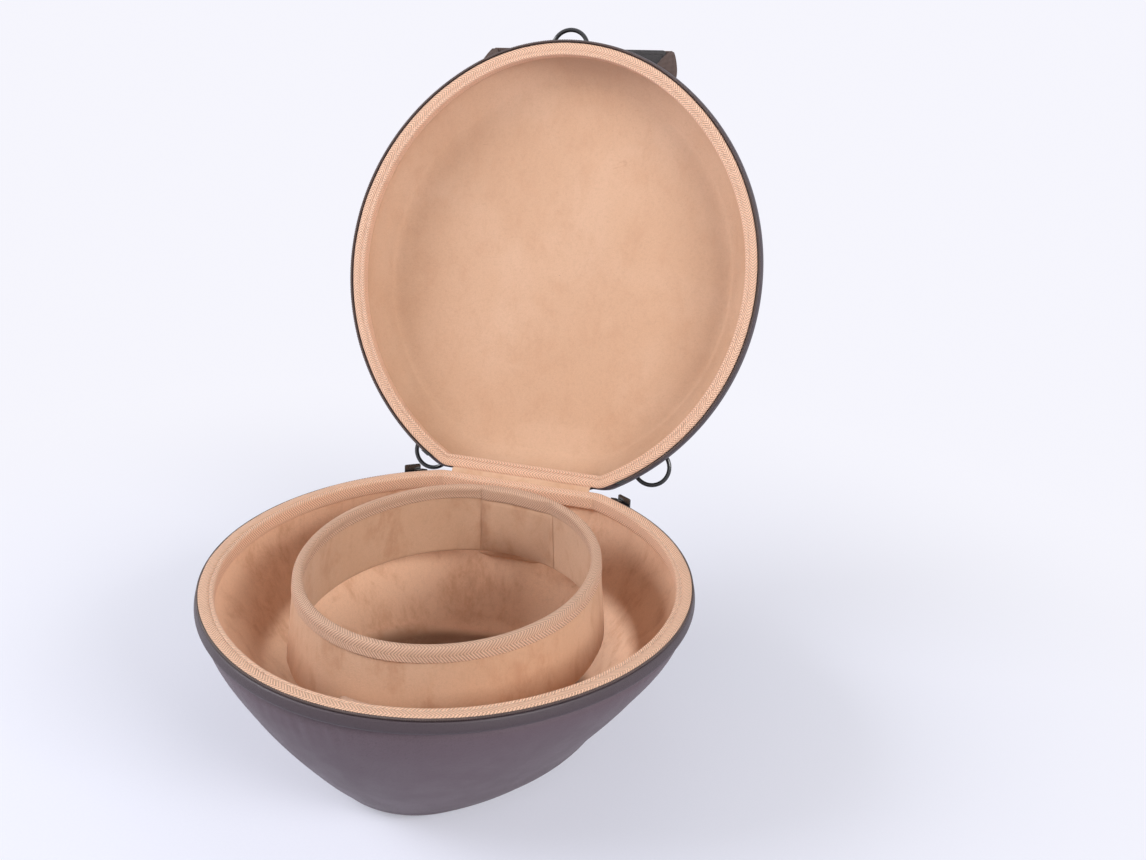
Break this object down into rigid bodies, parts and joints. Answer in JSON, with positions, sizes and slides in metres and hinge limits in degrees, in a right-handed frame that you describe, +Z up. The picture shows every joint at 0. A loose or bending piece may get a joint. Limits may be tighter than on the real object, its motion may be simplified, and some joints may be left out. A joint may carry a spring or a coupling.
{
  "type": "hat case",
  "caption": "Soft oval hat case shown open: a deep moulded dish with a crown collar, and a shallow hinged lid with a zip rim, carrying strap and strap rings.",
  "frame": {"origin": "on the surface the case stands on, under the centre of the rim oval", "axes": "+Z up, +Y towards the hinge at the back, +X to the right along the hinge"},
  "size_m": [0.336, 0.5295, 0.4642],
  "materials": {
    "tan_suede": "mottled suede lining",
    "tan_herringbone": "herringbone edge tape",
    "plum_skin": "grained soft sheen",
    "foam_board": "moulded foam",
    "brown_zip": "moulded coil",
    "brown_tape": "woven zip tape",
    "brown_webbing": "ribbed webbing",
    "black_metal": "gloss black",
    "black_skin": "grained handle face",
    "dark_panel": "textured",
    "hook_tape": "hook strip"
  },
  "bodies": {
    "dish": {"base_panel": "dark_panel", "dish_cover": "plum_skin", "dish_shell": "foam_board", "dish_lining": "tan_suede", "dish_binding": "tan_herringbone", "dish_zip_tape": "brown_tape", "dish_zip_coil": "brown_zip", "dish_zip_stops": "black_metal", "hinge_strip_dish": "plum_skin", "collar_board": "foam_board", "collar_cover": "tan_suede", "collar_tape": "tan_herringbone", "collar_flap": "tan_suede", "collar_hook_strip": "hook_tape", "collar_seat_front": "foam_board", "collar_seat_back": "foam_board"},
    "lid": {"lid_cover": "plum_skin", "lid_shell": "foam_board", "lid_lining": "tan_suede", "lid_binding": "tan_herringbone", "lid_zip_tape": "brown_tape", "lid_zip_coil": "brown_zip", "lid_zip_stops": "black_metal", "hinge_strip_lid": "plum_skin", "hinge_strip_inner": "tan_suede", "front_ring_tab": "brown_webbing", "left_ring_tab": "brown_webbing", "right_ring_tab": "brown_webbing", "left_handle_anchor": "brown_webbing", "right_handle_anchor": "brown_webbing"},
    "handle": {"handle_webbing": "brown_webbing", "handle_pad": "foam_board", "handle_lining": "black_skin"},
    "front_ring": {"front_d_ring": "black_metal"},
    "left_ring": {"left_d_ring": "black_metal"},
    "right_ring": {"right_d_ring": "black_metal"},
    "left_zip_slider": {"left_slider": "black_metal"},
    "right_zip_slider": {"right_slider": "black_metal"},
    "left_zip_puller": {"left_puller": "black_metal"},
    "right_zip_puller": {"right_puller": "black_metal"}
  },
  "joints": [
    {"name": "lid_hinge", "type": "hinge", "parent": "dish", "child": "lid", "pos_m": [0, 0.16729, 0.128], "axis": [1, 0, 0], "range_deg": [0, 109.4]},
    {"name": "handle_swing", "type": "hinge", "parent": "lid", "child": "handle", "pos_m": [-0.00945, 0.30873, 0.42425], "axis": [0.9982, 0.0197, 0.0559], "range_deg": [-20, 45]},
    {"name": "front_ring_swing", "type": "hinge", "parent": "lid", "child": "front_ring", "pos_m": [-0.01204, 0.30512, 0.44714], "axis": [0.9966, 0.0272, 0.0773], "range_deg": [-80, 60]},
    {"name": "left_ring_swing", "type": "hinge", "parent": "lid", "child": "left_ring", "pos_m": [-0.0823, 0.19409, 0.13182], "axis": [-0.829, 0.1857, 0.5274], "range_deg": [-80, 60]},
    {"name": "right_ring_swing", "type": "hinge", "parent": "lid", "child": "right_ring", "pos_m": [0.09841, 0.19813, 0.14331], "axis": [-0.7638, -0.2144, -0.6088], "range_deg": [-80, 60]},
    {"name": "left_slider_travel", "type": "hinge", "parent": "dish", "child": "left_zip_slider", "pos_m": [0.02211, 0, 0.128], "axis": [0, 0, 1], "range_deg": [0, 108.9]},
    {"name": "left_puller_swing", "type": "hinge", "parent": "left_zip_slider", "child": "left_zip_puller", "pos_m": [-0.08863, 0.15814, 0.127], "axis": [0.8192, 0.5736, 0], "range_deg": [-6, 90]},
    {"name": "right_slider_travel", "type": "hinge", "parent": "dish", "child": "right_zip_slider", "pos_m": [-0.02211, 0, 0.128], "axis": [0, 0, 1], "range_deg": [-108.9, 0]},
    {"name": "right_puller_swing", "type": "hinge", "parent": "right_zip_slider", "child": "right_zip_puller", "pos_m": [0.08863, 0.15814, 0.127], "axis": [0.8192, -0.5736, 0], "range_deg": [-6, 90]}
  ]
}
